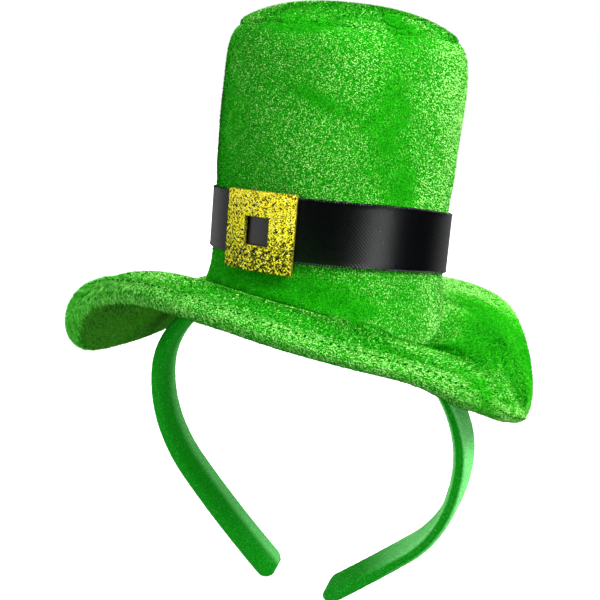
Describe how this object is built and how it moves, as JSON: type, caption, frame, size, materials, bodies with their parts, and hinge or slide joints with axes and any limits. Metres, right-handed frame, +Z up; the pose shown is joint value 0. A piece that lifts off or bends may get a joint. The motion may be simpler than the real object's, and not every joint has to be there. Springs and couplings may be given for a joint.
{
  "type": "mini hat headband",
  "caption": "Small velvet top hat with a bent brim, a satin ribbon and a glitter buckle, perched on a velvet-covered headband that springs over the head.",
  "frame": {"origin": "head seat: middle of the headband's inner face at its highest point", "axes": "+Z up, from the head towards the hat; +X along the headband's arch, to the viewer's right from the front; the hat's front and its buckle face -Y"},
  "size_m": [0.1701, 0.1926, 0.2557],
  "materials": {
    "hat_velvet": "crushed short-pile velvet, bright grass green",
    "band_velvet": "smooth short-nap fabric wrapped round the band, deeper green",
    "ribbon_satin": "black satin ribbon with a soft sheen",
    "buckle_glitter": "gold glitter sheet"
  },
  "bodies": {
    "root": {"headband": "band_velvet", "brim": "hat_velvet", "crown_side": "hat_velvet", "crown_top": "hat_velvet", "ribbon_band": "ribbon_satin", "buckle": "buckle_glitter"}
  },
  "joints": []
}
